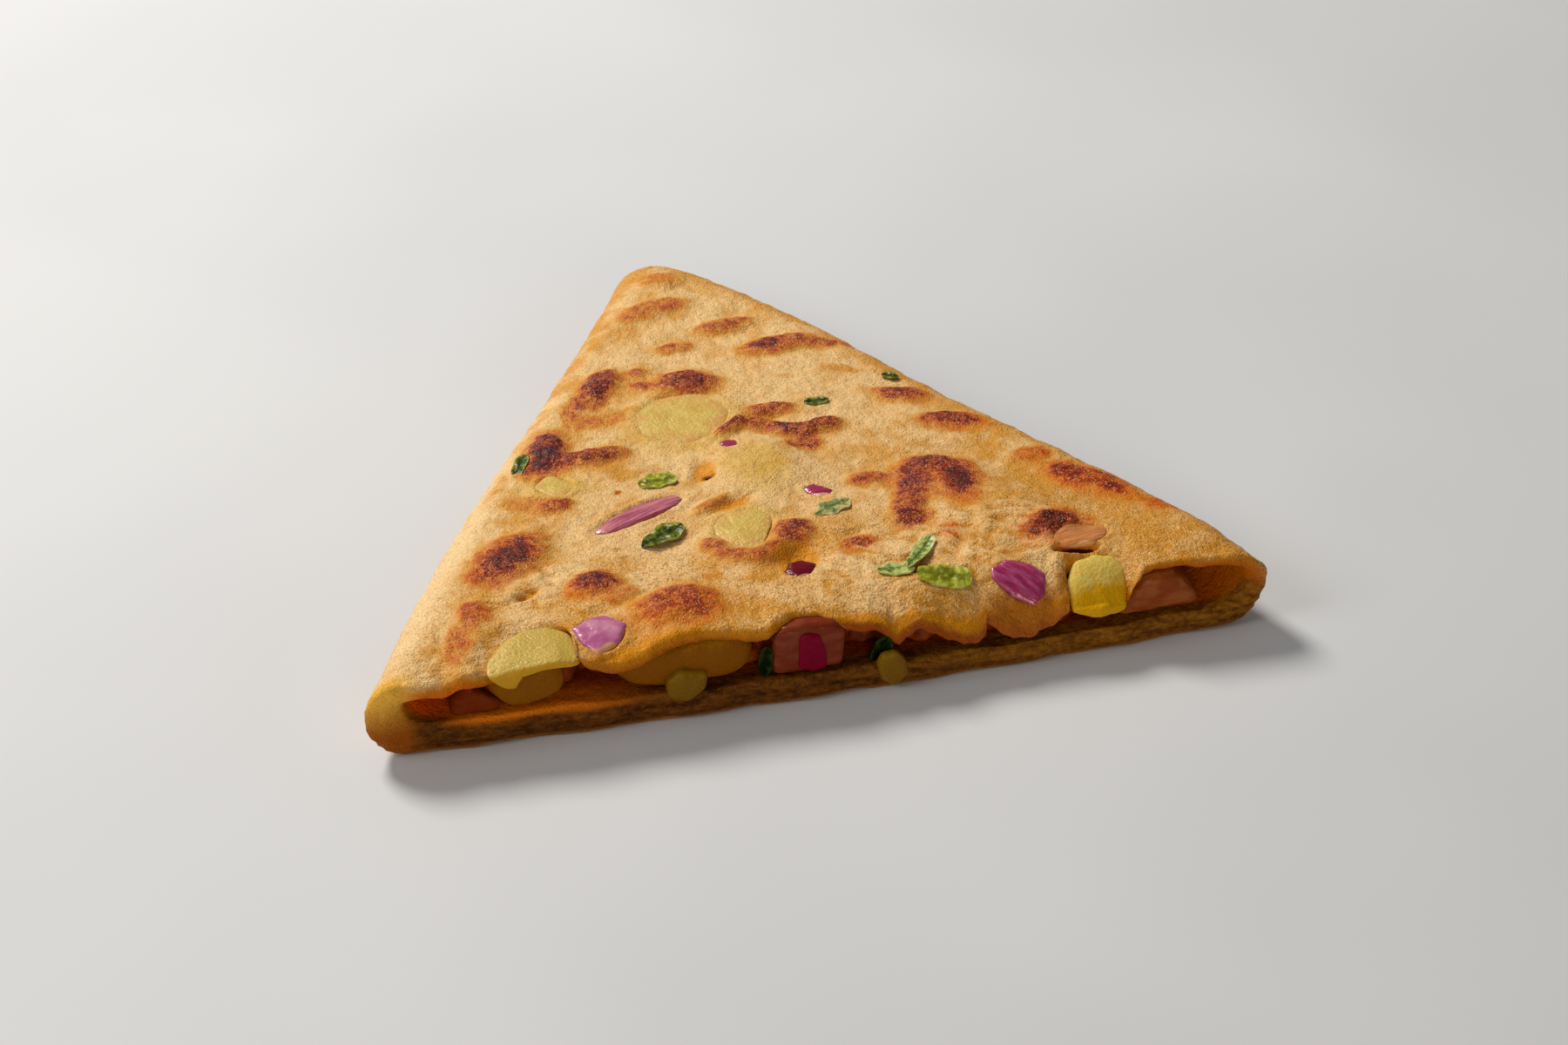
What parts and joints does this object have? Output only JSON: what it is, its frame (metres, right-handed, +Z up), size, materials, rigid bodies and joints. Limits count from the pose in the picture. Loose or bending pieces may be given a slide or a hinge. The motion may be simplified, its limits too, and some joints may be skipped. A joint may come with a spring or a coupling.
{
  "type": "folded stuffed paratha",
  "caption": "Griddled flatbread folded to a triangle, open along one edge, with a potato, onion and coriander filling that shows at the edge and through the browned top",
  "frame": {"origin": "below the middle of the bounding box, on the surface that the bread lies on", "axes": "+X runs along the open edge from the left fold to the right fold, +Y from the open edge to the tip of the fold, +Z up"},
  "size_m": [0.1498, 0.1283, 0.0165],
  "materials": {
    "dough": "griddled wheat dough, golden with browned blisters and a slight oily sheen",
    "filling": "dark moist spiced mash",
    "potato": "moist cooked potato, tinted yellow",
    "onion": "wet red onion skin",
    "onion_pale": "softened translucent onion",
    "leaf": "wilted coriander leaf"
  },
  "bodies": {
    "root": {"bread": "dough", "filling": "filling", "potato_front_left": "potato", "potato_under_left": "potato", "potato_mid": "potato", "potato_small": "potato", "potato_drip": "potato", "potato_cube_right": "potato", "potato_top_large": "potato", "potato_top_left": "potato", "potato_top_front": "potato", "onion_front_left": "onion", "onion_front_right": "onion", "onion_mid_skin": "onion", "onion_sliver": "onion", "onion_bit_upper": "onion", "onion_bit_middle": "onion", "onion_bit_front": "onion", "onion_mid": "onion_pale", "onion_left_hollow": "onion_pale", "onion_right_hollow": "onion_pale", "onion_flap": "onion_pale", "leaf_upper": "leaf", "leaf_lower": "leaf", "leaf_back": "leaf", "leaf_middle": "leaf", "leaf_cluster_left": "leaf", "leaf_cluster_top": "leaf", "leaf_cluster_right": "leaf", "leaf_left_fold": "leaf", "leaf_right_fold": "leaf", "herb_open_edge": "leaf", "leaf_open_edge": "leaf"}
  },
  "joints": []
}
